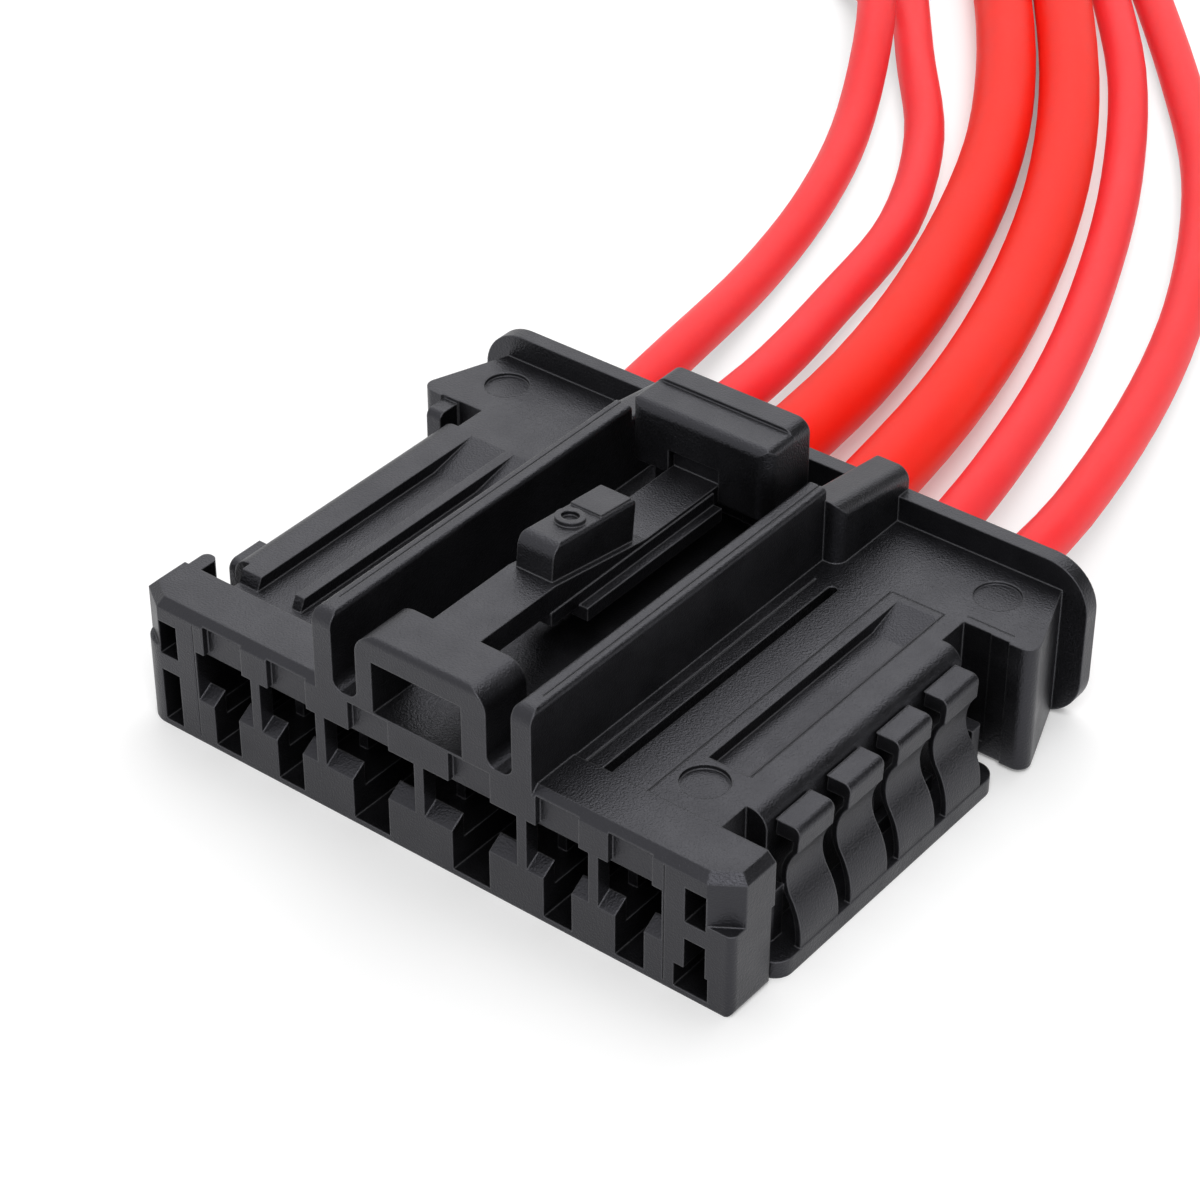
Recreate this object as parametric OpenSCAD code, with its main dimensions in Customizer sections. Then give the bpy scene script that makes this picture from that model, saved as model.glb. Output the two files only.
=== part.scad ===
// Six-way tail light connector: a black moulded socket housing with a sprung latch arm,
// a comb-shaped secondary lock on its right side, stamped contacts and six red wires.
// Millimetres, +Z up. The mating face looks along -Y and the housing stands on z = 0.
// Shapes are drawn with y counted from the mating face, then moved to the footprint's middle.

/* [Cells] */
// Width of a small cell, wall centre to wall centre
small_cell_w = 5; // [4.6:0.1:5.6]
// Width of a large cell, wall centre to wall centre
large_cell_w = 7.4; // [6.8:0.1:8.4]
// Thickness of the walls between the cells
cell_wall = 0.65; // [0.5:0.05:0.9]
// Width of the key slot under a small cell
small_slot_w = 2; // [1.6:0.1:2.4]
// Width of the key slot under a large cell
large_slot_w = 2.7; // [2:0.1:3.4]
// Thickness of the floor under the key slots
slot_floor = 0.35; // [0.3:0.05:0.6]
// Length of the key slots from the mating face
slot_len = 9; // [6:0.5:11]
// Height of the sills at the mating face
sill_h = 3.1; // [2.9:0.05:3.4]
// Rise of the lead-in slope behind each sill
lead_rise = 0.75; // [0.4:0.05:1]
// Thickness of the front wall
front_wall = 1.05; // [0.8:0.05:1.5]
// Height of the cell mouths above the sills
mouth_h = 3.35; // [3.2:0.05:3.8]
// Width of the sunk lintel above each mouth
lintel_w = 3; // [2.2:0.1:3.6]
// Depth of the sunk lintels
lintel_sink = 0.45; // [0.2:0.05:0.7]
// Length of the open chamber in front of the contacts
chamber_len = 4; // [2.5:0.5:4.5]

/* [Housing] */
// Height of the roof above the cell mouths
roof_h = 2.6; // [2.2:0.1:3.4]
// Thickness of the outer side walls, from the last cell wall's centre
side_wall = 2.1; // [2:0.1:2.8]
// Length from the mating face to the flange
body_len = 33.45; // [32.5:0.05:37]
// Radius of the long top edges
edge_r = 1.15; // [0.8:0.05:1.4]
// Length of the front header
header_len = 3.75; // [3.5:0.05:4.2]
// Reach of the header beyond the side walls
header_lip = 2.3; // [2:0.1:3]
// Step from the panels up to the header
header_step = 0.1; // [0.05:0.05:0.3]
// Bevel on the header's top edges
header_bevel = 0.55; // [0.3:0.05:0.8]
// Height of the ledge under the header's cut corners
corner_ledge = 5.7; // [4.5:0.1:6.5]
// Thickness of the rear flange
flange_t = 1.05; // [0.8:0.05:1.6]
// Reach of the flange beyond the side walls
flange_rim = 3.25; // [3:0.05:4.5]
// Rise of the flange above the panels
flange_rise = 1.75; // [1.5:0.05:2.8]
// Corner radius of the flange
flange_r = 3; // [1.5:0.1:3.5]
// Length of the raised rear platform in front of the flange
rear_len = 6.15; // [5.5:0.05:7]
// Depth of the sunk floors on the panels
panel_sink = 0.8; // [0.4:0.05:0.9]

/* [Latch] */
// Width of the channel between the guide walls
channel_w = 13; // [12.6:0.1:14]
// Sideways offset of the guide walls, arch and hood
latch_shift = 0.3; // [0:0.05:0.4]
// Depth of the channel floor below the panels
channel_sink = 0.25; // [0.1:0.05:0.5]
// Thickness of the guide walls
guide_t = 1.35; // [1:0.05:1.5]
// Rise of the guide walls above the panels
guide_rise = 5.05; // [4.6:0.05:5.5]
// Width of the arch that carries the latch arm
arch_w = 9.4; // [8.6:0.1:10]
// Length of the arch along the connector
arch_len = 3.6; // [3:0.1:4.4]
// Rise of the arch above the panels
arch_rise = 4.9; // [4.6:0.05:5.4]
// Thickness of the arch's top bar
arch_bar = 1.6; // [1.3:0.05:1.8]
// Thickness of the arch's legs
arch_leg = 1.45; // [1.2:0.05:1.8]
// Width of the latch arm
arm_w = 3.4; // [2.8:0.1:4]
// Distance from the mating face to the thumb pad
pad_y = 10.6; // [9.5:0.1:12]
// Length of the thumb pad
pad_len = 7.5; // [6:0.1:8]
// Width of the thumb pad
pad_w = 2.6; // [2:0.1:2.8]
// Rise of the thumb pad above the arch
pad_rise = 2.25; // [1.5:0.05:2.5]
// Width of the hood over the arm's free end
hood_w = 10.2; // [9:0.1:11]
// Length of the hood's overhang
hood_len = 2.6; // [2.5:0.1:3.2]
// Rise of the hood above the panels
hood_rise = 7.35; // [6.8:0.05:8]
// Thickness of the wall that carries the hood
hood_wall = 1.6; // [1.2:0.1:1.8]
// Gap round the arm's free end under the hood
arm_gap = 0.15; // [0.1:0.05:0.3]

/* [Secondary lock] */
// Number of grip ribs
rib_count = 4; // [3:1:4]
// Spacing of the grip ribs
rib_pitch = 4.76; // [4.2:0.02:4.8]
// Width of a rib at its head
rib_head_w = 3.2; // [2.6:0.1:3.4]
// Width of a rib at its foot
rib_foot_w = 3.6; // [3:0.1:3.8]
// Reach of the rail beyond the side wall
rail_reach = 2.7; // [2.4:0.1:3.2]
// Height of the rail
rail_h = 1.15; // [0.8:0.05:1.5]
// Thickness of the curved grip fingers
finger_t = 0.4; // [0.35:0.05:0.6]
// Thickness of the fingers' heads
head_t = 0.9; // [0.7:0.05:1.2]
// Running gap between the lock and the housing
lock_gap = 0.15; // [0.1:0.05:0.25]
// Outward travel to the open position
lock_travel = 2.2; // [1.8:0.1:2.4]
// Thickness of the lock's tongue
tongue_t = 1; // [0.8:0.1:1.2]
// Length of the tongue along the connector
tongue_len = 8; // [6:0.5:8.5]

/* [Contacts] */
// Blade width of the small contacts
small_blade_w = 2.8; // [2.4:0.1:3]
// Blade width of the large contacts
large_blade_w = 4.8; // [4:0.1:5.2]
// Sheet thickness of the contacts
sheet_t = 0.35; // [0.25:0.05:0.45]
// Length of the rolled receptacle
receptacle_len = 9; // [7:0.5:9.5]
// Gap between a contact and its cell
contact_gap = 0.15; // [0.1:0.05:0.25]
// Length of the crimped barrel
crimp_len = 7; // [6:0.5:8]

/* [Wires] */
// Outer diameter of the thin wires
thin_wire_d = 3.1; // [2.6:0.1:3.3]
// Outer diameter of the thick wires
thick_wire_d = 4.7; // [4:0.1:4.9]
// Gap round a wire in its bore
bore_gap = 0.3; // [0.2:0.05:0.4]
// Length of the bared wire ends
strip_len = 6; // [4:0.5:10]

/* [Hidden] */
$fn = 48;

// Overlap that welds two shapes of one moulding, and the reach of a cut past a face
weld = 0.1;

// Cell layout across the mating face
cells_half = large_cell_w + 2 * small_cell_w;
cell_x = [
    for (side = [-1, 1])
        for (k = side < 0 ? [2, 1, 0] : [0, 1, 2])
            side * (k == 0 ? large_cell_w / 2 : large_cell_w + (k - 0.5) * small_cell_w)
];
function is_large(i) = i == 2 || i == 3;
function cell_w(i) = is_large(i) ? large_cell_w : small_cell_w;
function slot_w(i) = is_large(i) ? large_slot_w : small_slot_w;
function blade_w(i) = is_large(i) ? large_blade_w : small_blade_w;
function wire_d(i) = is_large(i) ? thick_wire_d : thin_wire_d;
function bore_d(i) = wire_d(i) + 2 * bore_gap;

// Heights
mouth_top = sill_h + mouth_h;
panel_z = mouth_top + roof_h;
header_z = panel_z + header_step;
channel_z = panel_z - channel_sink;
guide_z = panel_z + guide_rise;
arch_z = panel_z + arch_rise;
hood_z = panel_z + hood_rise;
flange_z = panel_z + flange_rise;
crossbar_lift = 0.2;
cavity_rise = 0.55;
cavity_floor = sill_h + cavity_rise;
wire_z = (cavity_floor + mouth_top) / 2;

// Half widths
core_half = cells_half + side_wall;
header_half = core_half + header_lip;
flange_half = core_half + flange_rim;
guide_in = channel_w / 2;
guide_out = guide_in + guide_t;

// Lengths counted from the mating face
depth = body_len + flange_t;
rear_y = body_len - rear_len;
hood_set = 2.2;
hood_back = rear_y + hood_set;
hood_y = hood_back - hood_wall - hood_len;
notch_len = 2.35;
notch_end = header_len + notch_len;
rear_notch_len = 2.25;

// Contacts along the cells
contact_set = 0.95;
contact_y = front_wall + chamber_len + contact_set;
receptacle_end = contact_y + receptacle_len;
neck_len = 2;
contact_end = receptacle_end + neck_len + crimp_len;
contact_h = mouth_top - cavity_floor - 2 * contact_gap;
tab_w = 1.6;
tab_drop = 0.7;
tab_len = 0.8;
bore_lap = 0.5;
cavity_end = contact_end - bore_lap;

// Secondary lock
lock_in = core_half + lock_gap;
rail_out = core_half + rail_reach;
tooth_w = tab_w;
tooth_len = 1.3;
tooth_y = receptacle_end + lock_gap;
tongue_front = 1.4;
tongue_y = tooth_y - tongue_front;
tongue_z = 1.3;
tongue_root = 0.5;
tooth_sink = 0.1;
tooth_z = cavity_floor - tooth_sink;
rib_set = 3.1;
rib_y = header_len + rib_set;
rib_lean = 1.1;
head_drop = 0.65;
head_z = panel_z - head_drop;

// Wire routes behind the flange: x, y from the mating face and z above the floor
wire_routes = [
    [[-17.3, 46.5, 4.1], [-21, 61, 2.1], [-24.5, 73.5, 1.8], [-29.5, 85.7, 1.9], [-36.8, 99, 4],
     [-43.2, 105.4, 1.9], [-49.5, 110, 1.6]],
    [[-10.9, 47.2, 4.2], [-14.2, 60.8, 2.5], [-17.6, 74, 1.7], [-23.6, 86.3, 1.6], [-32, 97.5, 1.6],
     [-41.5, 110.5, 1.6]],
    [[-6.1, 52, 3.9], [-11, 69.5, 2.6], [-17.4, 86.2, 2.4], [-25.7, 101, 2.4], [-36.6, 116.4, 2.4]],
    [[0.6, 52.3, 4.1], [-4.6, 69.2, 2.6], [-11, 85, 2.4], [-19.5, 100.4, 2.4], [-32, 118.5, 2.4]],
    [[7.5, 47.2, 4.3], [3.4, 61.5, 2.8], [-1.9, 75.6, 1.8], [-8.4, 90, 1.6], [-17, 105, 1.6],
     [-28, 119.6, 1.6]],
    [[13.6, 47, 4.1], [9.2, 64.3, 2.5], [3.6, 79.6, 1.7], [-4, 94.2, 1.6], [-13.6, 107.2, 1.6],
     [-25.5, 121.6, 1.6]]
];
floor_gap = 0.05;

// Curve through a route's points, two spans between neighbours
function curve_at(a, b, c, d, t) =
    (2 * b + (c - a) * t + (2 * a - 5 * b + 4 * c - d) * t * t + (3 * b - a - 3 * c + d) * t * t * t) / 2;
function curve(points) = [
    for (i = [0 : len(points) - 2])
        for (t = [0, 0.5])
            curve_at(points[max(i - 1, 0)], points[i], points[i + 1], points[min(i + 2, len(points) - 1)], t),
    points[len(points) - 1]
];
function above_floor(i, p) = [p[0], p[1], max(p[2], wire_d(i) / 2 + floor_gap)];
function wire_path(i) = concat(
    [[cell_x[i], contact_end, wire_z]],
    curve(concat([[cell_x[i], depth, wire_z]], [for (p = wire_routes[i]) above_floor(i, p)]))
);
function unit(v) = v / norm(v);
function heading(path, i) =
    i == 0 ? unit(path[1] - path[0])
    : i == len(path) - 1 ? unit(path[i] - path[i - 1])
    : unit(unit(path[i + 1] - path[i]) + unit(path[i] - path[i - 1]));

// Shared placing and profile helpers
module placed() {
    translate([0, -depth / 2, 0]) children();
}

module both_sides() {
    children();
    mirror([1, 0, 0]) children();
}

module block(low, high) {
    translate(low) cube(high - low);
}

// Stands an outline drawn in x and z up along y
module along_y(y0, y1) {
    translate([0, y1, 0]) rotate([90, 0, 0]) linear_extrude(y1 - y0) children();
}

// Stands an outline drawn in y and z up along x
module along_x(x0, x1) {
    translate([x0, 0, 0]) rotate([90, 0, 90]) linear_extrude(x1 - x0) children();
}

module along_z(z0, z1) {
    translate([0, 0, z0]) linear_extrude(z1 - z0) children();
}

// Rectangle between two corners with a radius for each corner: low-low, high-low, high-high, low-high
module round_rect(low, high, radii) {
    corners = [low, [high[0], low[1]], high, [low[0], high[1]]];
    inward = [[1, 1], [-1, 1], [-1, -1], [1, -1]];
    difference() {
        translate(low) square(high - low);
        for (k = [0 : 3])
            if (radii[k] > 0)
                translate(corners[k])
                    scale_signs(inward[k]) corner_waste(radii[k]);
    }
}

module scale_signs(signs) {
    mirror([signs[0] < 0 ? 1 : 0, 0]) mirror([0, signs[1] < 0 ? 1 : 0]) children();
}

// What a convex corner at the origin loses to a radius, with a margin outside it
module corner_waste(r) {
    difference() {
        translate([-weld, -weld]) square(r + weld);
        translate([r, r]) circle(r);
    }
}

// What a concave corner at the origin gains from a fillet; its ends run out just under the faces
fillet_sink = 0.03;

module fillet(r) {
    difference() {
        translate([-weld, -weld]) square(r + weld);
        translate([r - fillet_sink, r - fillet_sink]) circle(r);
    }
}

// Bar whose lower face cuts a 45 degree bevel along a level edge, with the solid left of the run
module bevel_bar(from, to, size) {
    run = to - from;
    translate(from)
        rotate([0, 0, atan2(run[1], run[0])])
            translate([0, 0, -size])
                rotate([45, 0, 0])
                    translate([-weld, -size, 0])
                        cube([norm(run) + 2 * weld, 4 * size, 2 * size]);
}

// Front header with cut upper corners and bevelled top edges
header_cut_w = 1.8;
header_cut_x = header_half - header_cut_w;
header_cut_y = 1.2;
header_foot_r = 1.7;
header_edge_r = [0.8, 0.5];
hook_inset = 0.85;
hook_w = 1;
hook_len = 1.5;

module header() {
    difference() {
        union() {
            intersection() {
                along_z(0, corner_ledge)
                    round_rect([-header_half, 0], [header_half, header_len], [header_foot_r, 0.5, 0.4, 0]);
                along_y(-weld, header_len + weld)
                    round_rect(
                        [-header_half, 0], [header_half, header_z],
                        [header_edge_r[0], header_edge_r[1], 0, 0]
                    );
            }
            along_z(corner_ledge - weld, header_z)
                polygon([
                    [-header_cut_x, 0], [header_cut_x, 0], [header_half, header_cut_y],
                    [header_half, header_len], [-header_half, header_len], [-header_half, header_cut_y]
                ]);
        }
        both_sides() {
            bevel_bar([guide_in + guide_t / 2, 0, header_z], [header_cut_x, 0, header_z], header_bevel);
            bevel_bar([header_cut_x, 0, header_z], [header_half, header_cut_y, header_z], header_bevel);
            bevel_bar(
                [header_half, header_cut_y, header_z], [header_half, header_len, header_z],
                header_bevel
            );
        }
    }
    along_z(0, header_z)
        round_rect(
            [hook_inset - header_half, header_len - weld],
            [hook_inset + hook_w - header_half, header_len + hook_len],
            [0, 0, 0.45, 0.45]
        );
}

// Long body between header and flange, with rounded top edges
module core() {
    along_y(header_len - weld, body_len + weld)
        round_rect([-core_half, 0], [core_half, panel_z], [0, 0, edge_r, edge_r]);
}

// Rear corner: a pillar whose outer side slants in to the flange
pillar_r = 0.8;
pillar_lead = 0.15;
pillar_front = rear_y - pillar_lead;
pillar_reach = 2.6;
pillar_x = core_half + pillar_reach;
pillar_foot_reach = 1.4;
pillar_foot_x = core_half + pillar_foot_reach;
pillar_root_x = core_half - 3;
pillar_step_x = core_half + 1.8;
pillar_low = 0.3;

module rear_corner() {
    centre = [pillar_x, pillar_front + pillar_r];
    along = unit([pillar_foot_x, body_len] - (centre + [pillar_r, 0]));
    tangent = centre + pillar_r * [along[1], -along[0]];
    along_z(pillar_low, panel_z) {
        polygon([
            [pillar_root_x, rear_y], [pillar_step_x, rear_y], [pillar_step_x, pillar_front],
            [pillar_x, pillar_front], centre, tangent, [pillar_foot_x, body_len + weld],
            [pillar_root_x, body_len + weld]
        ]);
        translate(centre) circle(pillar_r);
    }
}

module flange() {
    along_y(body_len, depth)
        round_rect([-flange_half, 0], [flange_half, flange_z], [flange_r, flange_r, flange_r, flange_r]);
}

// Low cheek in front of the left rear corner and the small block behind the hook
cheek_out = 1.7;
cheek_in = 0.6;
cheek_len = 1.7;
cheek_drop = 0.25;
cheek_r = 0.5;
stub_reach = 0.5;
stub_len = 2.7;
stub_drop = 0.6;
stub_r = 0.6;

module left_details() {
    cheek_y = rear_y - cheek_len;
    cheek_z = panel_z - cheek_drop;
    stub_end = notch_end + stub_len;
    stub_z = panel_z - stub_drop;
    intersection() {
        block([-core_half - cheek_out, cheek_y, 0], [-core_half - cheek_in, rear_y + weld, cheek_z]);
        along_x(-core_half - 3, 0)
            round_rect([cheek_y, -1], [rear_y + 1, cheek_z], [0, 0, 0, cheek_r]);
    }
    intersection() {
        block([-core_half - stub_reach, notch_end, 0], [-core_half + stub_reach, stub_end, stub_z]);
        along_x(-core_half - 3, 0)
            round_rect([notch_end, -1], [stub_end, stub_z], [0, 0, 0, stub_r]);
    }
}

// Guide wall beside the latch channel, with rounded edges and nose
guide_edge_r = 0.3;
guide_nose_r = 0.9;

module guide_wall() {
    line_x = guide_in + 0.6 * guide_t;
    difference() {
        intersection() {
            along_y(0, rear_y + weld)
                round_rect(
                    [guide_in, channel_z - 1], [guide_out, guide_z],
                    [0, 0, guide_edge_r, guide_edge_r]
                );
            along_x(0, guide_out + 1)
                round_rect([0, 0], [rear_y + 1, guide_z], [0, 0, 0, guide_nose_r]);
        }
        seam_groove([line_x, 2 * guide_nose_r, guide_z], [line_x, rear_y + 1, guide_z]);
    }
    along_y(0, arch_len)
        translate([guide_in, gap_floor_z]) mirror([1, 0]) fillet(gap_fillet_r);
    block([arch_w / 2 - weld, 0, channel_z - weld], [guide_in + weld, arch_len, gap_floor_z]);
}

gap_floor_rise = 0.35;
gap_floor_z = channel_z + gap_floor_rise;
gap_fillet_r = min(0.8, (guide_in - arch_w / 2) / 2 - 0.1);

// Sloping shoulder that runs from a guide wall's end over the flange
wedge_reach = 1.18;
wedge_out = guide_out + wedge_reach;
wedge_front_rise = 4.25;
wedge_front_z = panel_z + wedge_front_rise;
wedge_back_rise = 3.2;
wedge_back_z = panel_z + wedge_back_rise;
wedge_slope = atan((wedge_front_z - wedge_back_z) / (depth - rear_y));
wedge_r = 0.9;
wedge_nose_r = 0.8;

module wedge() {
    intersection() {
        translate([0, rear_y, wedge_front_z])
            rotate([-wedge_slope, 0, 0])
                along_y(-2, depth - rear_y + 2)
                    round_rect([guide_in, -wedge_front_z], [wedge_out, 0], [0, 0, wedge_r, guide_edge_r]);
        along_z(channel_z - 1, guide_z)
            round_rect([guide_in, rear_y], [wedge_out, depth], [0, wedge_nose_r, 0, 0]);
    }
}

// Arch over the channel's front, which carries the latch arm
arch_r = 1.4;
arch_edge_r = 0.4;

module arch() {
    window_half = arch_w / 2 - arch_leg;
    difference() {
        translate([latch_shift, 0, 0])
            intersection() {
                along_y(0, arch_len)
                    round_rect([-arch_w / 2, channel_z - weld], [arch_w / 2, arch_z], [0, 0, arch_r, arch_r]);
                along_x(-arch_w, arch_w)
                    round_rect([0, 0], [arch_len, arch_z], [0, 0, 0, arch_edge_r]);
            }
        block(
            [-window_half, -weld, channel_z - 2 * weld],
            [window_half, arch_len + weld, arch_z - arch_bar]
        );
    }
    translate([latch_shift, 0, 0])
        both_sides()
            along_y(0, arch_len)
                translate([arch_w / 2, gap_floor_z]) fillet(gap_fillet_r);
}

// Latch arm: thin at the arch, deeper under the thumb pad, its free end under the hood
arm_t = 1.35;
arm_low_z = arch_z - arm_t;
arm_thin_len = 6.1;
arm_deep_y = arch_len + arm_thin_len;
arm_deep_t = 2.5;
arm_deep_z = arch_z - arm_deep_t;
arm_tuck = 2.2;
arm_end = hood_y + arm_tuck;
arm_step = 0.08;
ledge_w = arm_w + 1.4;
ledge_t = 0.8;
ledge_set = 2.5;
ledge_y = arm_deep_y + ledge_set;
ledge_end = hood_y - 0.3;
pad_foot = 0.4;
lip_set = 0.35;

module latch_arm() {
    along_x(-arm_w / 2, arm_w / 2)
        polygon([
            [arch_len - weld, arch_z - arch_bar], [arm_deep_y, arch_z - arch_bar], [arm_deep_y, arm_deep_z],
            [arm_end, arm_deep_z], [arm_end, arm_low_z], [pad_y + pad_len + pad_foot, arm_low_z],
            [pad_y - pad_foot, arch_z], [arch_len - weld, arch_z]
        ]);
    block(
        [-arm_w / 2 - arm_step, arm_deep_y, arm_deep_z],
        [arm_w / 2 + arm_step, ledge_end, arch_z - arch_bar]
    );
    block([-ledge_w / 2, ledge_y, arm_deep_z - ledge_t], [ledge_w / 2, ledge_end, arm_deep_z + weld]);
    block([-arm_w / 2, hood_y + lip_set, arm_low_z - weld], [arm_w / 2, arm_end, notch_z - arm_gap]);
}

// Thumb pad with a rounded front, a sloping top, a raised rear plate and a plain ring
pad_z = arch_z + pad_rise;
pad_fall = 0.8;
pad_slope = atan(pad_fall / pad_len);
plate_y = pad_y + 0.6 * pad_len;
plate_rise = 0.15;
ring_d = 1.8;
ring_rise = 0.3;

module thumb_pad() {
    translate([0, pad_y, pad_z]) rotate([-pad_slope, 0, 0]) {
        intersection() {
            along_y(0, pad_len)
                round_rect([-pad_w / 2, -pad_rise - 1.5], [pad_w / 2, 0], [0, 0, 0.25, 0.25]);
            along_x(-pad_w, pad_w)
                round_rect([0, -pad_rise - 2], [pad_len + 1, 0], [0, 0, 0, 0.9]);
        }
        translate([0, plate_y - pad_y, -weld])
            block(
                [0.2 - pad_w / 2, 0, 0],
                [pad_w / 2 - 0.2, pad_y + pad_len - plate_y - 0.2, plate_rise + weld]
            );
        translate([0, (plate_y - pad_y) * 0.68, -weld])
            difference() {
                cylinder(d = ring_d, h = ring_rise + weld);
                translate([0, 0, -weld]) cylinder(d = ring_d - 0.7, h = ring_rise + 3 * weld);
            }
    }
}

// Hood: a wall across the channel with an overhanging cap, notched for the arm
cap_low_rise = 3.15;
cap_low_z = panel_z + cap_low_rise;
notch_h = 1.2;
notch_z = arm_low_z + notch_h;
hood_r = 0.9;
cap_edge_r = 0.6;
wall_step = 0.25;
wall_r = 0.9;

module hood() {
    cap_back = hood_back - hood_wall;
    difference() {
        translate([latch_shift, 0, 0]) {
            intersection() {
                along_z(channel_z, hood_z)
                    round_rect([-hood_w / 2, hood_y], [hood_w / 2, cap_back + weld], [hood_r, hood_r, 0, 0]);
                along_x(-hood_w, hood_w)
                    round_rect([hood_y, arm_deep_z], [cap_back + 1, hood_z], [0.2, 0, 0, cap_edge_r]);
                along_y(hood_y - 1, hood_back)
                    round_rect([-hood_w / 2, 0], [hood_w / 2, hood_z], [0, 0, 0.5, 0.5]);
            }
            along_y(cap_back, hood_back)
                round_rect(
                    [-hood_w / 2, channel_z - weld], [hood_w / 2, hood_z + wall_step],
                    [0, 0, wall_r, wall_r]
                );
        }
        block([latch_shift - hood_w, hood_y - 1, 0], [-arm_w / 2, cap_back + weld / 2, cap_low_z]);
        block(
            [-arm_w / 2 - arm_gap, hood_y - 1, 0],
            [arm_w / 2 + arm_gap, arm_end + arm_gap, notch_z]
        );
        block([-arm_w / 2 - weld, hood_y + 1, 0], [arm_w / 2 + arm_gap, cap_back + weld / 2, cap_low_z]);
    }
}

// Fine moulding seam along a level line
seam_w = 0.1;

module seam_groove(from, to) {
    run = to - from;
    translate(from)
        rotate([0, 0, atan2(run[1], run[0])])
            translate([0, -seam_w / 2, -seam_w])
                cube([norm(run), seam_w, 2 * seam_w]);
}

lintel_top = header_z - header_bevel + 0.08;

// Openings of one cell: key slot, mouth with lead-in, chamber, contact cavity and wire bore
module cell_cut(i) {
    half = (cell_w(i) - cell_wall) / 2;
    translate([cell_x[i], 0, 0]) {
        block([-slot_w(i) / 2, -weld, slot_floor], [slot_w(i) / 2, slot_len, sill_h + lead_rise + weld]);
        along_x(-half, half)
            polygon([
                [-weld, sill_h - weld * lead_rise / front_wall], [front_wall + weld, sill_h + lead_rise],
                [front_wall + weld, mouth_top], [-weld, mouth_top]
            ]);
        block([-half, -weld, mouth_top - weld], [half, lintel_sink, mouth_top + crossbar_lift]);
        block([-lintel_w / 2, -weld, mouth_top - weld], [lintel_w / 2, lintel_sink, lintel_top]);
        block([-half, front_wall, sill_h - 1], [half, front_wall + chamber_len, mouth_top]);
        block([-half, front_wall, cavity_floor], [half, cavity_end, mouth_top]);
        block([-tab_w / 2 - 0.2, front_wall, cavity_floor - tab_drop - 0.2],
              [tab_w / 2 + 0.2, cavity_end, cavity_floor + weld]);
        translate([0, depth + weld, wire_z]) rotate([90, 0, 0]) {
            cylinder(d = bore_d(i), h = depth - cavity_end + 2 * weld);
            cylinder(d1 = bore_d(i) + 0.7, d2 = bore_d(i) - 0.2, h = 0.5);
        }
    }
}

// Open space behind the front wall, shared by all cells
shared_len = 2.5;

module shared_chamber() {
    half = cells_half - cell_wall / 2;
    block([-half, front_wall, sill_h - 1], [half, front_wall + shared_len, mouth_top]);
}

// Windows in the end of the header; the right lower one widens at its foot
end_hole_set = 1.18;
end_hole_x = cells_half + end_hole_set;
end_hole_w = 1.42;
end_hole_depth = 3;
upper_hole_rise = 2.15;
upper_hole_h = 2.4;
lower_hole_rise = 1;

module end_holes() {
    both_sides() {
        block(
            [end_hole_x, -weld, sill_h + upper_hole_rise],
            [end_hole_x + end_hole_w, end_hole_depth, sill_h + upper_hole_rise + upper_hole_h]
        );
        block(
            [end_hole_x, -weld, slot_floor],
            [end_hole_x + end_hole_w, end_hole_depth, sill_h + lower_hole_rise]
        );
        block(
            [cells_half - 0.24, -weld, slot_floor],
            [cells_half - 0.16, 0.15, header_z - header_bevel - 0.1]
        );
    }
    block(
        [end_hole_x - 0.68, -weld, slot_floor],
        [end_hole_x + end_hole_w + 0.2, end_hole_depth, sill_h - 1.1]
    );
}

// Sunk panel floor with a ramp at its rear
module panel_floor(x0, x1, y0, y1, ramp) {
    along_x(x0, x1)
        polygon([
            [y0, panel_z - panel_sink], [y1 - ramp, panel_z - panel_sink],
            [y1, panel_z + weld], [y0, panel_z + weld]
        ]);
}

// Panel ribs, given by their distance from the side walls
rib_inner_set = 6.2;
rib_inner_x = core_half - rib_inner_set;
rib_inner_w = 0.7;
rib_outer_set = 2.8;
rib_outer_x = core_half - rib_outer_set;
panel_rim = 1.3;
panel_edge = core_half - panel_rim;
floor_in_set = 2.05;
floor_in = guide_out + latch_shift + floor_in_set;
groove_set = 0.17;
groove_in = floor_in - groove_set;
groove_w = 0.62;
groove_sink = 1;
rib_front_set = 1.25;
rib_front = header_len + rib_front_set;
rib_nose = 0.57;
floor_set = 4.45;
floor_front = header_len + floor_set;
ramp_set = 2.1;
ramp_end = rear_y - ramp_set;
left_ramp = 4.2;
right_ramp = 3;

module panel_cuts() {
    along_z(panel_z - groove_sink, panel_z + 1)
        round_rect(
            [groove_in, header_len + 0.15], [groove_in + groove_w, rear_y - 1.8],
            [0, 0, 0.3, 0.3]
        );
    panel_floor(rib_inner_x + rib_inner_w, rib_outer_x, floor_front, rear_y - 0.3, right_ramp);
    mirror([1, 0, 0])
        difference() {
            panel_floor(floor_in, panel_edge, header_len, ramp_end, left_ramp);
            left_rib(rib_inner_x, rib_inner_x + rib_inner_w);
            left_rib(rib_outer_x, panel_edge + weld);
        }
}

module left_rib(x0, x1) {
    along_x(x0, x1)
        polygon([
            [rib_front, panel_z - panel_sink - weld], [rib_front + rib_nose, panel_z + 2 * weld],
            [rear_y, panel_z + 2 * weld], [rear_y, panel_z - panel_sink - weld]
        ]);
}

// Round witness marks of the ejector pins: x, y and depth
ejector_r = 1.45;
front_mark_set = 2.65;
rear_mark_set = 3.35;
front_mark_in = 4.4;
rear_mark_in = 1.2;
left_mark_in = 0.75;
ejector_marks = [
    [core_half - rear_mark_in, rear_y + rear_mark_set, 0.2],
    [core_half - front_mark_in, header_len + front_mark_set, 0.3],
    [left_mark_in - core_half, rear_y + rear_mark_set, 0.25]
];

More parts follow.
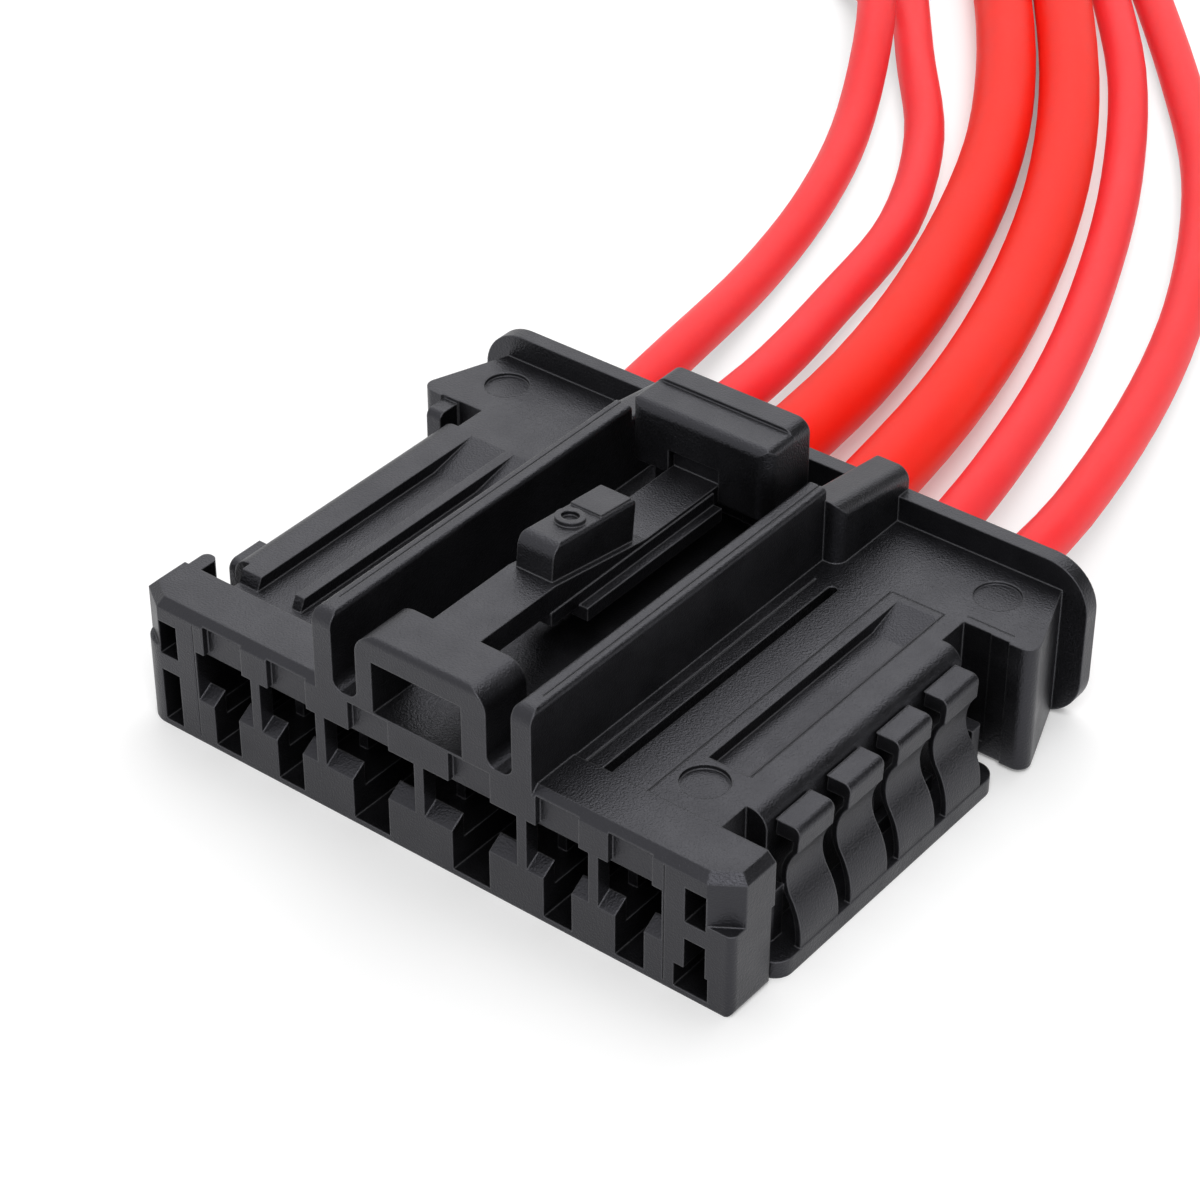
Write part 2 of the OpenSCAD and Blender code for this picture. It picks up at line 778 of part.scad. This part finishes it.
module ejector_cuts() {
    for (mark = ejector_marks)
        translate([mark[0], mark[1], panel_z - mark[2]])
            cylinder(r = ejector_r, h = 1);
}

seam_set = 0.1;

module panel_seams() {
    seam_back = rear_y - seam_set;
    seam_x = guide_out + latch_shift + 0.8;
    line_x = rib_inner_x - 0.15;
    side_x = rib_outer_x + 0.15;
    seam_groove([seam_x, header_len, panel_z], [seam_x, rear_y - 1.8, panel_z]);
    seam_groove([line_x, header_len, panel_z], [line_x, seam_back, panel_z]);
    seam_groove([line_x, seam_back, panel_z], [side_x, seam_back, panel_z]);
    seam_groove([side_x, floor_front, panel_z], [side_x, seam_back, panel_z]);
    seam_groove([panel_edge - 0.2, rear_y + 0.62, panel_z], [core_half + 1.7, rear_y + 0.62, panel_z]);
}

// Passage for the lock's tongue and teeth, under the cells and open to the right
module lock_passage() {
    block(
        [lock_gap - cells_half, tongue_y - lock_gap, tongue_z - lock_gap],
        [core_half + 1, tongue_y + tongue_len + lock_gap, tongue_z + tongue_t + lock_gap]
    );
    block(
        [lock_gap - cells_half, tooth_y - lock_gap, tongue_z],
        [core_half - side_wall + lock_travel, tooth_y + tooth_len + lock_gap, cavity_floor + weld]
    );
}

module housing() {
    color([0.09, 0.09, 0.1]) placed() {
        difference() {
            union() {
                header();
                core();
                both_sides() rear_corner();
                flange();
                left_details();
            }
            block(
                [latch_shift - guide_in, -weld, channel_z],
                [latch_shift + guide_in, body_len, panel_z + 1]
            );
            for (i = [0 : 5]) cell_cut(i);
            shared_chamber();
            end_holes();
            panel_cuts();
            ejector_cuts();
            panel_seams();
            lock_passage();
            block([panel_edge - 0.1, header_len, rail_h], [core_half + 1, notch_end, panel_z + 1]);
            block([-core_half - 0.1, header_len, rail_h], [-panel_edge, notch_end, panel_z + 1]);
            both_sides()
                block(
                    [panel_edge - 0.1, rear_y - rear_notch_len, rail_h],
                    [core_half + 0.5, rear_y + 0.05, panel_z + 1]
                );
        }
        translate([latch_shift, 0, 0])
            both_sides() {
                guide_wall();
                wedge();
            }
        arch();
        latch_arm();
        thumb_pad();
        hood();
    }
}

// Outline of a grip finger across the connector: head, concave waist and flared foot
waist_r = 2.4;
waist_out = 3.58;
waist_x = core_half + waist_out;
waist_drop = 2.95;
waist_z = head_z - waist_drop;
head_reach = 1.7;
head_x = core_half + head_reach;
head_r = 0.5;
edge_rise = head_z - panel_z + edge_r;
head_hang = edge_r - sqrt(edge_r * edge_r - edge_rise * edge_rise);
foot_ledge = 0.05;

module rib_outline() {
    difference() {
        rib_block();
        intersection() {
            translate([-finger_t, 0]) rib_block();
            translate([lock_in - 1, rail_h - weld / 2])
                square([rail_reach + 1, head_z - head_t - rail_h + weld / 2]);
        }
    }
}

module rib_block() {
    foot_out = rail_out - foot_ledge;
    across = waist_x - foot_out;
    rise = waist_z - rail_h;
    foot_r = (across * across + rise * rise - waist_r * waist_r) / (2 * (waist_r - across));
    meet_z = rail_h + rise * foot_r / (foot_r + waist_r);
    intersection() {
        translate([foot_out - foot_r, rail_h]) circle(foot_r);
        translate([lock_in, rail_h - weld]) square([rail_reach, meet_z - rail_h + weld]);
    }
    difference() {
        union() {
            translate([lock_in, meet_z]) square([rail_reach, waist_z - meet_z]);
            round_rect([lock_in, waist_z], [head_x, head_z], [0, 0, head_r, 0]);
            polygon([
                [lock_in - head_hang, head_z], [lock_in, head_z - head_hang],
                [lock_in + weld, head_z - head_hang], [lock_in + weld, head_z]
            ]);
        }
        translate([waist_x, waist_z]) circle(waist_r);
    }
}

// Rail under the fingers and the two posts at its ends
rail_set = 1.7;
rail_r = 1.2;
post_r = 0.3;
front_post_rise = 3.5;
front_post_t = 0.9;
front_post_len = 1.1;
front_post_gap = 0.5;
rear_post_rise = 3;
rear_post_t = 1.35;
rear_post_len = 1;
rear_post_set = 1.9;

module secondary_lock() {
    front_post_end = rib_y - front_post_gap;
    rear_post_end = rear_y - rear_post_set;
    color([0.08, 0.08, 0.09]) placed() {
        intersection() {
            along_y(0, rear_y) rib_outline();
            along_x(core_half - 1, rail_out + 1)
                for (k = [0 : rib_count - 1])
                    translate([rib_y + k * rib_pitch, 0])
                        polygon([
                            [0, head_z + weld], [rib_head_w, head_z + weld],
                            [rib_foot_w - rib_lean, 0], [-rib_lean, 0]
                        ]);
        }
        along_z(0, rail_h)
            round_rect(
                [lock_in, header_len + lock_gap], [rail_out, rear_y - rail_set],
                [0, rail_r, rail_r, 0]
            );
        along_z(weld, rail_h + front_post_rise)
            round_rect(
                [lock_in, front_post_end - front_post_len], [lock_in + front_post_t, front_post_end],
                [0, post_r, 0, 0]
            );
        along_z(weld, rail_h + rear_post_rise)
            round_rect(
                [lock_in, rear_post_end - rear_post_len], [lock_in + rear_post_t, rear_post_end],
                [0, 0, post_r, 0]
            );
        block(
            [2 * lock_gap - cells_half, tongue_y, tongue_z],
            [lock_in + tongue_root, tongue_y + tongue_len, tongue_z + tongue_t]
        );
        block(
            [lock_in, tongue_y, rail_h - weld],
            [lock_in + tongue_root, tongue_y + tongue_len, tongue_z + tongue_t]
        );
        for (x = cell_x)
            block(
                [x - tooth_w / 2, tooth_y, tongue_z],
                [x + tooth_w / 2, tooth_y + tooth_len, tooth_z]
            );
    }
}

// Stamped contact: rolled receptacle, locking tab, neck and crimped barrel
module contact(i) {
    roll_w = blade_w(i) + 2 * sheet_t;
    low = wire_z - contact_h / 2;
    roll_r = contact_h / 2 - 0.2;
    barrel_d = min(contact_h, 0.8 * wire_d(i));
    color([0.78, 0.76, 0.7]) placed() translate([cell_x[i], 0, 0]) {
        along_y(contact_y, receptacle_end)
            difference() {
                round_rect([-roll_w / 2, low], [roll_w / 2, low + contact_h], [0.2, 0.2, roll_r, roll_r]);
                round_rect(
                    [sheet_t - roll_w / 2, low + sheet_t],
                    [roll_w / 2 - sheet_t, low + contact_h - sheet_t],
                    [0, 0, roll_r - sheet_t, roll_r - sheet_t]
                );
                translate([-blade_w(i) / 5, low + contact_h / 2]) square([0.4 * blade_w(i), contact_h]);
            }
        block(
            [-tab_w / 2, receptacle_end - tab_len, low - tab_drop],
            [tab_w / 2, receptacle_end, low + sheet_t]
        );
        block(
            [-0.3 * blade_w(i), receptacle_end - weld, low],
            [0.3 * blade_w(i), receptacle_end + neck_len + weld, low + sheet_t]
        );
        translate([0, receptacle_end + neck_len, wire_z])
            rotate([-90, 0, 0]) cylinder(d = barrel_d, h = crimp_len);
        block(
            [-0.3 * blade_w(i), receptacle_end + neck_len - weld, low],
            [0.3 * blade_w(i), receptacle_end + neck_len + crimp_len / 2, wire_z]
        );
    }
}

// Wire: an eight-sided tube swept along its route
tube_sides = 8;

module wire(i) {
    path = wire_path(i);
    rings = [
        for (k = [0 : len(path) - 1])
            let (
                ahead = heading(path, k),
                right = unit(cross(ahead, [0, 0, 1])),
                up = cross(right, ahead)
            )
            for (s = [0 : tube_sides - 1])
                path[k] + wire_d(i) / 2 * (cos(s * 360 / tube_sides) * right + sin(s * 360 / tube_sides) * up)
    ];
    last = tube_sides * (len(path) - 1);
    faces = concat(
        [[for (s = [0 : tube_sides - 1]) s]],
        [
            for (k = [0 : len(path) - 2])
                for (s = [0 : tube_sides - 1])
                    let (a = k * tube_sides + s, b = k * tube_sides + (s + 1) % tube_sides)
                    [a, a + tube_sides, b + tube_sides, b]
        ],
        [[for (s = [tube_sides - 1 : -1 : 0]) last + s]]
    );
    color([0.9, 0.06, 0.06]) placed() polyhedron(points = rings, faces = faces);
}

// Bared end of a wire, in line with its last span
module wire_tip(i) {
    path = wire_path(i);
    end = path[len(path) - 1];
    ahead = heading(path, len(path) - 1);
    color([0.72, 0.42, 0.25]) placed()
        translate(end)
            rotate([0, acos(ahead[2]), atan2(ahead[1], ahead[0])])
                cylinder(d = 0.6 * wire_d(i), h = strip_len);
}

housing();
secondary_lock();
contact(0);  // contact_1
contact(1);  // contact_2
contact(2);  // contact_3
contact(3);  // contact_4
contact(4);  // contact_5
contact(5);  // contact_6
wire(0);  // wire_1
wire(1);  // wire_2
wire(2);  // wire_3
wire(3);  // wire_4
wire(4);  // wire_5
wire(5);  // wire_6
wire_tip(0);  // wire_tip_1
wire_tip(1);  // wire_tip_2
wire_tip(2);  // wire_tip_3
wire_tip(3);  // wire_tip_4
wire_tip(4);  // wire_tip_5
wire_tip(5);  // wire_tip_6
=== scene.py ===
import math

import bpy
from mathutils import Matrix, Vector


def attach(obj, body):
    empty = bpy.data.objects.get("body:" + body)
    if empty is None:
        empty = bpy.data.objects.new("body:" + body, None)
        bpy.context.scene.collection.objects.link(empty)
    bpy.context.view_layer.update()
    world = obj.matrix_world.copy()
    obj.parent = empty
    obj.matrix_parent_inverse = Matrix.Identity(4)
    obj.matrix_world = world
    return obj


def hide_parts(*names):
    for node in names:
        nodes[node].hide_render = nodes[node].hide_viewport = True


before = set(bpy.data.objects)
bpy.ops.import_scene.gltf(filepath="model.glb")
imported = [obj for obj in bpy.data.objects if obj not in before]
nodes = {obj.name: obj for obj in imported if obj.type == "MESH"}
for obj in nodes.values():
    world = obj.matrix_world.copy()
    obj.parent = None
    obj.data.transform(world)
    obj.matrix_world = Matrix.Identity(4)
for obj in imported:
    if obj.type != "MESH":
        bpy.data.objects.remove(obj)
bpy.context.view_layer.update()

scene = bpy.context.scene
BODY = "housing_body"

# Camera, solved from the photograph: place, tilt, heading and lens
CAMERA_PLACE = (0.09931, -0.12711, 0.12561)
CAMERA_TILT = 53.95
CAMERA_HEADING = 38.19
CAMERA_LENS = 102.09
SENSOR = 36
CLIP_START = 0.01

# Wires: rear face of the flange, height of the bores and start of the insulation at the contacts
FLANGE_BACK = 0.01725
BORE_Z = 0.00505
CONTACT_END = 0.00675
THIN = 0.0031
THICK = 0.0047
STRIP = 0.006
CELL_X = (-0.0149, -0.0099, -0.0037, 0.0037, 0.0099, 0.0149)
WIRE_DIAMETERS = (THIN, THIN, THICK, THICK, THIN, THIN)
WIRE_RING = 8

# Route of each wire behind the flange, and the steps on the curve from one point to the next
WIRE_ROUTES = (
    ((-0.0173, 0.02925, 0.0041), (-0.021, 0.04375, 0.0021), (-0.0245, 0.05625, 0.0018),
     (-0.0295, 0.06845, 0.0019), (-0.0368, 0.08175, 0.004), (-0.0432, 0.08815, 0.0019),
     (-0.0495, 0.09275, 0.0016)),
    ((-0.0109, 0.02995, 0.0042), (-0.0142, 0.04355, 0.0025), (-0.0176, 0.05675, 0.0017),
     (-0.0236, 0.06905, 0.0016), (-0.032, 0.08025, 0.0016), (-0.0415, 0.09325, 0.0016)),
    ((-0.0061, 0.03475, 0.0039), (-0.011, 0.05225, 0.0026), (-0.0174, 0.06895, 0.0024),
     (-0.0257, 0.08375, 0.0024), (-0.0366, 0.09915, 0.0024)),
    ((0.0006, 0.03505, 0.0041), (-0.0046, 0.05195, 0.0026), (-0.011, 0.06775, 0.0024),
     (-0.0195, 0.08315, 0.0024), (-0.032, 0.10125, 0.0024)),
    ((0.0075, 0.02995, 0.0043), (0.0034, 0.04425, 0.0028), (-0.0019, 0.05835, 0.0018),
     (-0.0084, 0.07275, 0.0016), (-0.017, 0.08775, 0.0016), (-0.028, 0.10235, 0.0016)),
    ((0.0136, 0.02975, 0.0041), (0.0092, 0.04705, 0.0025), (0.0036, 0.06235, 0.0017),
     (-0.004, 0.07695, 0.0016), (-0.0136, 0.08995, 0.0016), (-0.0255, 0.10435, 0.0016)),
)
SPANS = 5

# Bared ends: conductor's radius as a share of the wire's diameter, then a strand's radius and
# each layer's count and place as shares of the conductor's radius
CONDUCTOR_SHARE = 0.3
STRAND_SHARE = 0.2
STRAND_LAYERS = ((1, 0.0), (6, 0.4), (12, 0.8))
STRAND_TWIST = 1.1
STRAND_STEPS = 8
STRAND_RING = 2

# Noise: its middle range, which a material's colours and roughness spread over, and its detail
NOISE_LOW = 0.3
NOISE_HIGH = 0.7
FINE = 2.0
CLOUDY = 3.0

# Plastic: noise scales per metre, lengths in metres
GRAIN_SCALE = 8000
GRAIN_BUMP = 0.5
GRAIN_DEPTH = 0.00008
PATCH_SCALE = 420
PLASTIC_IOR = 1.52
PLASTIC_TINT = (0.88, 0.88, 1.0, 1)

# Edges of the plastic: radius, the colour of the painted highlight along them and the turn of the normal
# over which that painted highlight fades in
EDGE_RADIUS = 0.00016
EDGE_SAMPLES = 6
EDGE_HIGHLIGHT_COLOUR = (0.09, 0.09, 0.095, 1)
EDGE_FULL = 0.75
EDGE_NONE = 0.99

# Insulation
CLOUD_SCALE = 260
MARK_SCALE = 2400
MARK_STRETCH = (1.0, 0.25, 1.0)
MARK_BUMP = 0.06
MARK_DEPTH = 0.00004
INSULATION_GLOSS = 0.14
SCATTER_WEIGHT = 0.9
SCATTER_SCALE = 0.0022
SCATTER_RADIUS = (1.0, 0.08, 0.06)

# Metal
LINE_SCALE = 3000
LINE_STRETCH = (1.0, 0.08, 1.0)
LINE_BUMP = 0.1
LINE_DEPTH = 0.00002

# Stage: floor, surroundings and the point that the lamps are turned to
WHITE = (1, 1, 1, 1)
FLOOR_SIZE = 6
FLOOR_COLOUR = (0.9, 0.9, 0.9, 1)
FLOOR_GLOW = 0.17
WORLD_LIGHT = 0.42
WORLD_SEEN = 1.0
CARD_COLOUR = (0.01, 0.01, 0.01, 1)
LAMP_AIM = (0, 0.03, 0)


class Shader:
    """A new material's node tree, with short calls to add nodes and join them."""

    def __init__(self, name):
        self.material = bpy.data.materials.new(name)
        self.material.use_nodes = True
        self.tree = self.material.node_tree
        self.surface = self.tree.nodes["Principled BSDF"]

    def add(self, kind, **values):
        """Adds a node, with each value set as a property or, if it has none, on its input."""
        node = self.tree.nodes.new(kind)
        for key, value in values.items():
            if hasattr(node, key):
                setattr(node, key, value)
            else:
                node.inputs[key.replace("_", " ")].default_value = value
        return node

    def join(self, source, out, target, into):
        self.tree.links.new(source.outputs[out], target.inputs[into])

    def set(self, **values):
        """Sets inputs of the surface shader."""
        for key, value in values.items():
            self.surface.inputs[key.replace("_", " ")].default_value = value

    def noise(self, scale, detail, stretch=None):
        """Noise over the object's own coordinates, at a scale per metre."""
        place = self.add("ShaderNodeTexCoord")
        noise = self.add("ShaderNodeTexNoise", Scale=scale, Detail=detail)
        if stretch:
            mapping = self.add("ShaderNodeMapping", Scale=stretch)
            self.join(place, "Object", mapping, "Vector")
            self.join(mapping, "Vector", noise, "Vector")
        else:
            self.join(place, "Object", noise, "Vector")
        return noise

    def spread(self, source, out, low, high, start=NOISE_LOW, end=NOISE_HIGH):
        """Maps the range from start to end onto low to high."""
        spread = self.add("ShaderNodeMapRange", From_Min=start, From_Max=end, To_Min=low, To_Max=high)
        self.join(source, out, spread, "Value")
        return spread

    def tint(self, noise, dark, light):
        """Blends two base colours by a noise."""
        ramp = self.add("ShaderNodeValToRGB")
        first, last = ramp.color_ramp.elements
        first.position = NOISE_LOW
        first.color = (*dark, 1)
        last.position = NOISE_HIGH
        last.color = (*light, 1)
        self.join(noise, "Fac", ramp, "Fac")
        self.join(ramp, "Color", self.surface, "Base Color")

    def gloss(self, noise, roughness):
        """Varies the roughness by a noise, from its first to its second value."""
        smooth, rough = roughness
        spread = self.spread(noise, "Fac", smooth, rough)
        self.join(spread, "Result", self.surface, "Roughness")

    def bump(self, noise, strength, distance, below=None):
        """Raises the surface by a noise, on top of another node's normal if one is given."""
        bump = self.add("ShaderNodeBump", Strength=strength, Distance=distance)
        self.join(noise, "Fac", bump, "Height")
        if below:
            self.join(below, "Normal", bump, "Normal")
        self.join(bump, "Normal", self.surface, "Normal")


def painted_edge_highlight(shader, edge):
    """Painted highlight: pales the base colour where the rounded normal leaves the face's own, in place
    of the light that rounded edges catch.
    """
    face = shader.add("ShaderNodeNewGeometry")
    turn = shader.add("ShaderNodeVectorMath", operation="DOT_PRODUCT")
    shader.join(edge, "Normal", turn, 0)
    shader.join(face, "Normal", turn, 1)
    share = shader.spread(turn, "Value", 1.0, 0.0, start=EDGE_FULL, end=EDGE_NONE)
    blend = shader.add("ShaderNodeMixRGB", Color2=EDGE_HIGHLIGHT_COLOUR)
    colour = shader.surface.inputs["Base Color"].links[0].from_socket
    shader.join(share, "Result", blend, "Fac")
    shader.tree.links.new(colour, blend.inputs["Color1"])
    shader.join(blend, "Color", shader.surface, "Base Color")


def moulded_plastic(name, dark, light, roughness):
    """Black plastic with the fine grain of an eroded mould, softly rounded edges and a painted highlight
    along them.
    """
    shader = Shader(name)
    grain = shader.noise(GRAIN_SCALE, FINE)
    patches = shader.noise(PATCH_SCALE, CLOUDY)
    shader.tint(patches, dark, light)
    shader.gloss(patches, roughness)
    shader.set(IOR=PLASTIC_IOR, Specular_Tint=PLASTIC_TINT)
    edge = shader.add("ShaderNodeBevel", samples=EDGE_SAMPLES, Radius=EDGE_RADIUS)
    # Painted highlight: the base colour pales along the edges, in place of the light they catch
    painted_edge_highlight(shader, edge)
    shader.bump(grain, GRAIN_BUMP, GRAIN_DEPTH, below=edge)
    return shader.material


def red_insulation(name, dark, light, roughness):
    """Extruded red insulation: satin, with faint lengthwise drawing marks."""
    shader = Shader(name)
    clouds = shader.noise(CLOUD_SCALE, CLOUDY)
    shader.tint(clouds, dark, light)
    shader.gloss(clouds, roughness)
    shader.set(Specular_IOR_Level=INSULATION_GLOSS)
    shader.set(Subsurface_Weight=SCATTER_WEIGHT, Subsurface_Scale=SCATTER_SCALE)
    shader.set(Subsurface_Radius=SCATTER_RADIUS)
    marks = shader.noise(MARK_SCALE, FINE, stretch=MARK_STRETCH)
    shader.bump(marks, MARK_BUMP, MARK_DEPTH)
    return shader.material


def drawn_metal(name, dark, light, roughness):
    """Bare metal with fine drawing lines."""
    shader = Shader(name)
    shader.set(Metallic=1.0)
    lines = shader.noise(LINE_SCALE, FINE, stretch=LINE_STRETCH)
    shader.tint(lines, dark, light)
    shader.gloss(lines, roughness)
    shader.bump(lines, LINE_BUMP, LINE_DEPTH)
    return shader.material


HOUSING_PLASTIC = moulded_plastic(
    "black_plastic", dark=(0.0022, 0.0022, 0.0024), light=(0.0034, 0.0034, 0.0037), roughness=(0.33, 0.44)
)
LOCK_PLASTIC = moulded_plastic(
    "lock_plastic", dark=(0.002, 0.002, 0.0022), light=(0.003, 0.003, 0.0033), roughness=(0.35, 0.46)
)
THIN_RED = red_insulation(
    "red_insulation_thin", dark=(0.92, 0.034, 0.041), light=(0.97, 0.044, 0.052), roughness=(0.42, 0.5)
)
THICK_RED = red_insulation(
    "red_insulation_thick", dark=(0.92, 0.017, 0.008), light=(0.97, 0.023, 0.011), roughness=(0.42, 0.5)
)
TINNED = drawn_metal(
    "tinned_brass", dark=(0.62, 0.58, 0.48), light=(0.78, 0.74, 0.63), roughness=(0.24, 0.38)
)
COPPER = drawn_metal(
    "copper_strands", dark=(0.62, 0.28, 0.14), light=(0.86, 0.46, 0.28), roughness=(0.22, 0.36)
)


def dress(node, material):
    """Gives a solid its material."""
    part = nodes[node]
    part.data.materials.clear()
    part.data.materials.append(material)


dress("housing", HOUSING_PLASTIC)
dress("secondary_lock", LOCK_PLASTIC)
for index in range(len(CELL_X)):
    dress(f"contact_{index + 1}", TINNED)


def between(a, b, c, d, t):
    """Point on the smooth curve from b to c, with a before and d after."""
    steady = 2 * b
    slope = (c - a) * t
    bend = (2 * a - 5 * b + 4 * c - d) * t * t
    twist = (3 * b - a - 3 * c + d) * t * t * t
    return (steady + slope + bend + twist) / 2


def wire_line(index):
    """Centre line of a wire from its contact to its bared end."""
    x = CELL_X[index]
    route = [Vector((x, FLANGE_BACK, BORE_Z))]
    route += [Vector(point) for point in WIRE_ROUTES[index]]
    line = [Vector((x, CONTACT_END, BORE_Z)), Vector((x, (CONTACT_END + FLANGE_BACK) / 2, BORE_Z))]
    last = len(route) - 1
    for k in range(last):
        before = route[max(k - 1, 0)]
        after = route[min(k + 2, last)]
        for step in range(SPANS):
            line.append(between(before, route[k], route[k + 1], after, step / SPANS))
    line.append(route[last])
    return line


def tube(name, lines, radius, material, ring):
    """Round tubes along lines of points, in one curve object."""
    data = bpy.data.curves.new(name, "CURVE")
    data.dimensions = "3D"
    data.bevel_depth = radius
    data.bevel_resolution = ring
    data.use_fill_caps = True
    for line in lines:
        spline = data.splines.new("POLY")
        spline.points.add(len(line) - 1)
        spline.use_smooth = True
        for point, place in zip(spline.points, line):
            point.co = (*place, 1)
    data.materials.append(material)
    piece = bpy.data.objects.new(name, data)
    scene.collection.objects.link(piece)
    return piece


def bared_end(index, line):
    """Twisted strands in line with the wire's last stretch."""
    ahead = (line[-1] - line[-2]).normalized()
    side = ahead.cross(Vector((0, 0, 1))).normalized()
    up = side.cross(ahead)
    radius = CONDUCTOR_SHARE * WIRE_DIAMETERS[index]
    strands = []
    for count, share in STRAND_LAYERS:
        for k in range(count):
            strand = []
            for step in range(STRAND_STEPS + 1):
                turn = 2 * math.pi * k / count + STRAND_TWIST * step / STRAND_STEPS
                offset = (side * math.cos(turn) + up * math.sin(turn)) * radius * share
                strand.append(line[-1] + ahead * STRIP * step / STRAND_STEPS + offset)
            strands.append(strand)
    piece = tube(f"bared_end_{index + 1}", strands, STRAND_SHARE * radius, COPPER, STRAND_RING)
    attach(piece, BODY)
    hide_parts(f"wire_tip_{index + 1}")
    return piece


def insulated_wire(index):
    """One red wire with its bared end."""
    line = wire_line(index)
    diameter = WIRE_DIAMETERS[index]
    insulation = THICK_RED if diameter == THICK else THIN_RED
    piece = tube(f"red_wire_{index + 1}", [line], diameter / 2, insulation, WIRE_RING)
    # The thin wires leave the floor beside them white, as in the photograph
    piece.visible_diffuse = diameter == THICK
    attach(piece, BODY)
    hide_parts(f"wire_{index + 1}")
    bared_end(index, line)


for index in range(len(CELL_X)):
    insulated_wire(index)


def seen_directly(tree):
    """One for rays from the camera, from gloss or through something clear, else nothing."""
    light_path = tree.nodes.new("ShaderNodeLightPath")
    seen = light_path.outputs["Is Camera Ray"]
    for ray in ("Is Glossy Ray", "Is Transmission Ray"):
        either = tree.nodes.new("ShaderNodeMath")
        either.operation = "MAXIMUM"
        tree.links.new(seen, either.inputs[0])
        tree.links.new(light_path.outputs[ray], either.inputs[1])
        seen = either.outputs["Value"]
    return seen


def turned(place, aim, axis):
    """Rotation that turns an object's axis from its place to a point."""
    return (Vector(aim) - Vector(place)).to_track_quat(axis, "Y").to_euler()


def white_floor():
    """Pale floor that keeps the soft shadow and reads as white to the camera."""
    bpy.ops.mesh.primitive_plane_add(size=FLOOR_SIZE)
    floor = bpy.context.object
    floor.name = "floor"
    shader = Shader("pale_floor")
    shader.set(Base_Color=FLOOR_COLOUR, Roughness=0.9, Specular_IOR_Level=0.0, Emission_Color=WHITE)
    glow = shader.add("ShaderNodeMath", operation="MULTIPLY")
    glow.inputs[1].default_value = FLOOR_GLOW
    shader.tree.links.new(seen_directly(shader.tree), glow.inputs[0])
    shader.join(glow, "Value", shader.surface, "Emission Strength")
    floor.data.materials.append(shader.material)


def studio_world():
    """Even white surroundings at a plain level, pure white to the camera."""
    world = bpy.data.worlds.new("studio")
    scene.world = world
    world.use_nodes = True
    tree = world.node_tree
    back = tree.nodes["Background"]
    back.inputs["Color"].default_value = WHITE
    level = tree.nodes.new("ShaderNodeMapRange")
    level.inputs["To Min"].default_value = WORLD_LIGHT
    level.inputs["To Max"].default_value = WORLD_SEEN
    tree.links.new(seen_directly(tree), level.inputs["Value"])
    tree.links.new(level.outputs["Result"], back.inputs["Strength"])


def black_card(place, aim, size):
    """Dark card out of the camera's sight, which keeps the walls that face it black."""
    bpy.ops.mesh.primitive_plane_add(size=size)
    card = bpy.context.object
    card.name = "black_card"
    card.location = place
    card.rotation_euler = turned(place, aim, "Z")
    card.visible_camera = False
    card.visible_diffuse = False
    shader = Shader("card_black")
    shader.set(Base_Color=CARD_COLOUR, Roughness=1.0, Specular_IOR_Level=0.0)
    card.data.materials.append(shader.material)


def softbox(name, place, size, energy):
    """Square area light, turned to the connector."""
    data = bpy.data.lights.new(name, "AREA")
    data.shape = "SQUARE"
    data.size = size
    data.energy = energy
    lamp = bpy.data.objects.new(name, data)
    lamp.location = place
    lamp.rotation_euler = turned(place, LAMP_AIM, "-Z")
    scene.collection.objects.link(lamp)


def camera():
    """The photograph's camera."""
    data = bpy.data.cameras.new("camera")
    data.lens = CAMERA_LENS
    data.sensor_width = SENSOR
    data.clip_start = CLIP_START
    eye = bpy.data.objects.new("camera", data)
    eye.location = CAMERA_PLACE
    eye.rotation_euler = (math.radians(CAMERA_TILT), 0, math.radians(CAMERA_HEADING))
    scene.collection.objects.link(eye)
    scene.camera = eye


white_floor()
studio_world()
black_card(place=(0.5, 0.6, 0.5), aim=(0, 0, 0), size=0.9)
softbox("sky", place=(-0.2, 0.57, 0.85), size=1.1, energy=5.4)
softbox("key", place=(0.35, -0.4, 0.82), size=0.5, energy=4.6)
camera()
scene.view_settings.view_transform = "Standard"
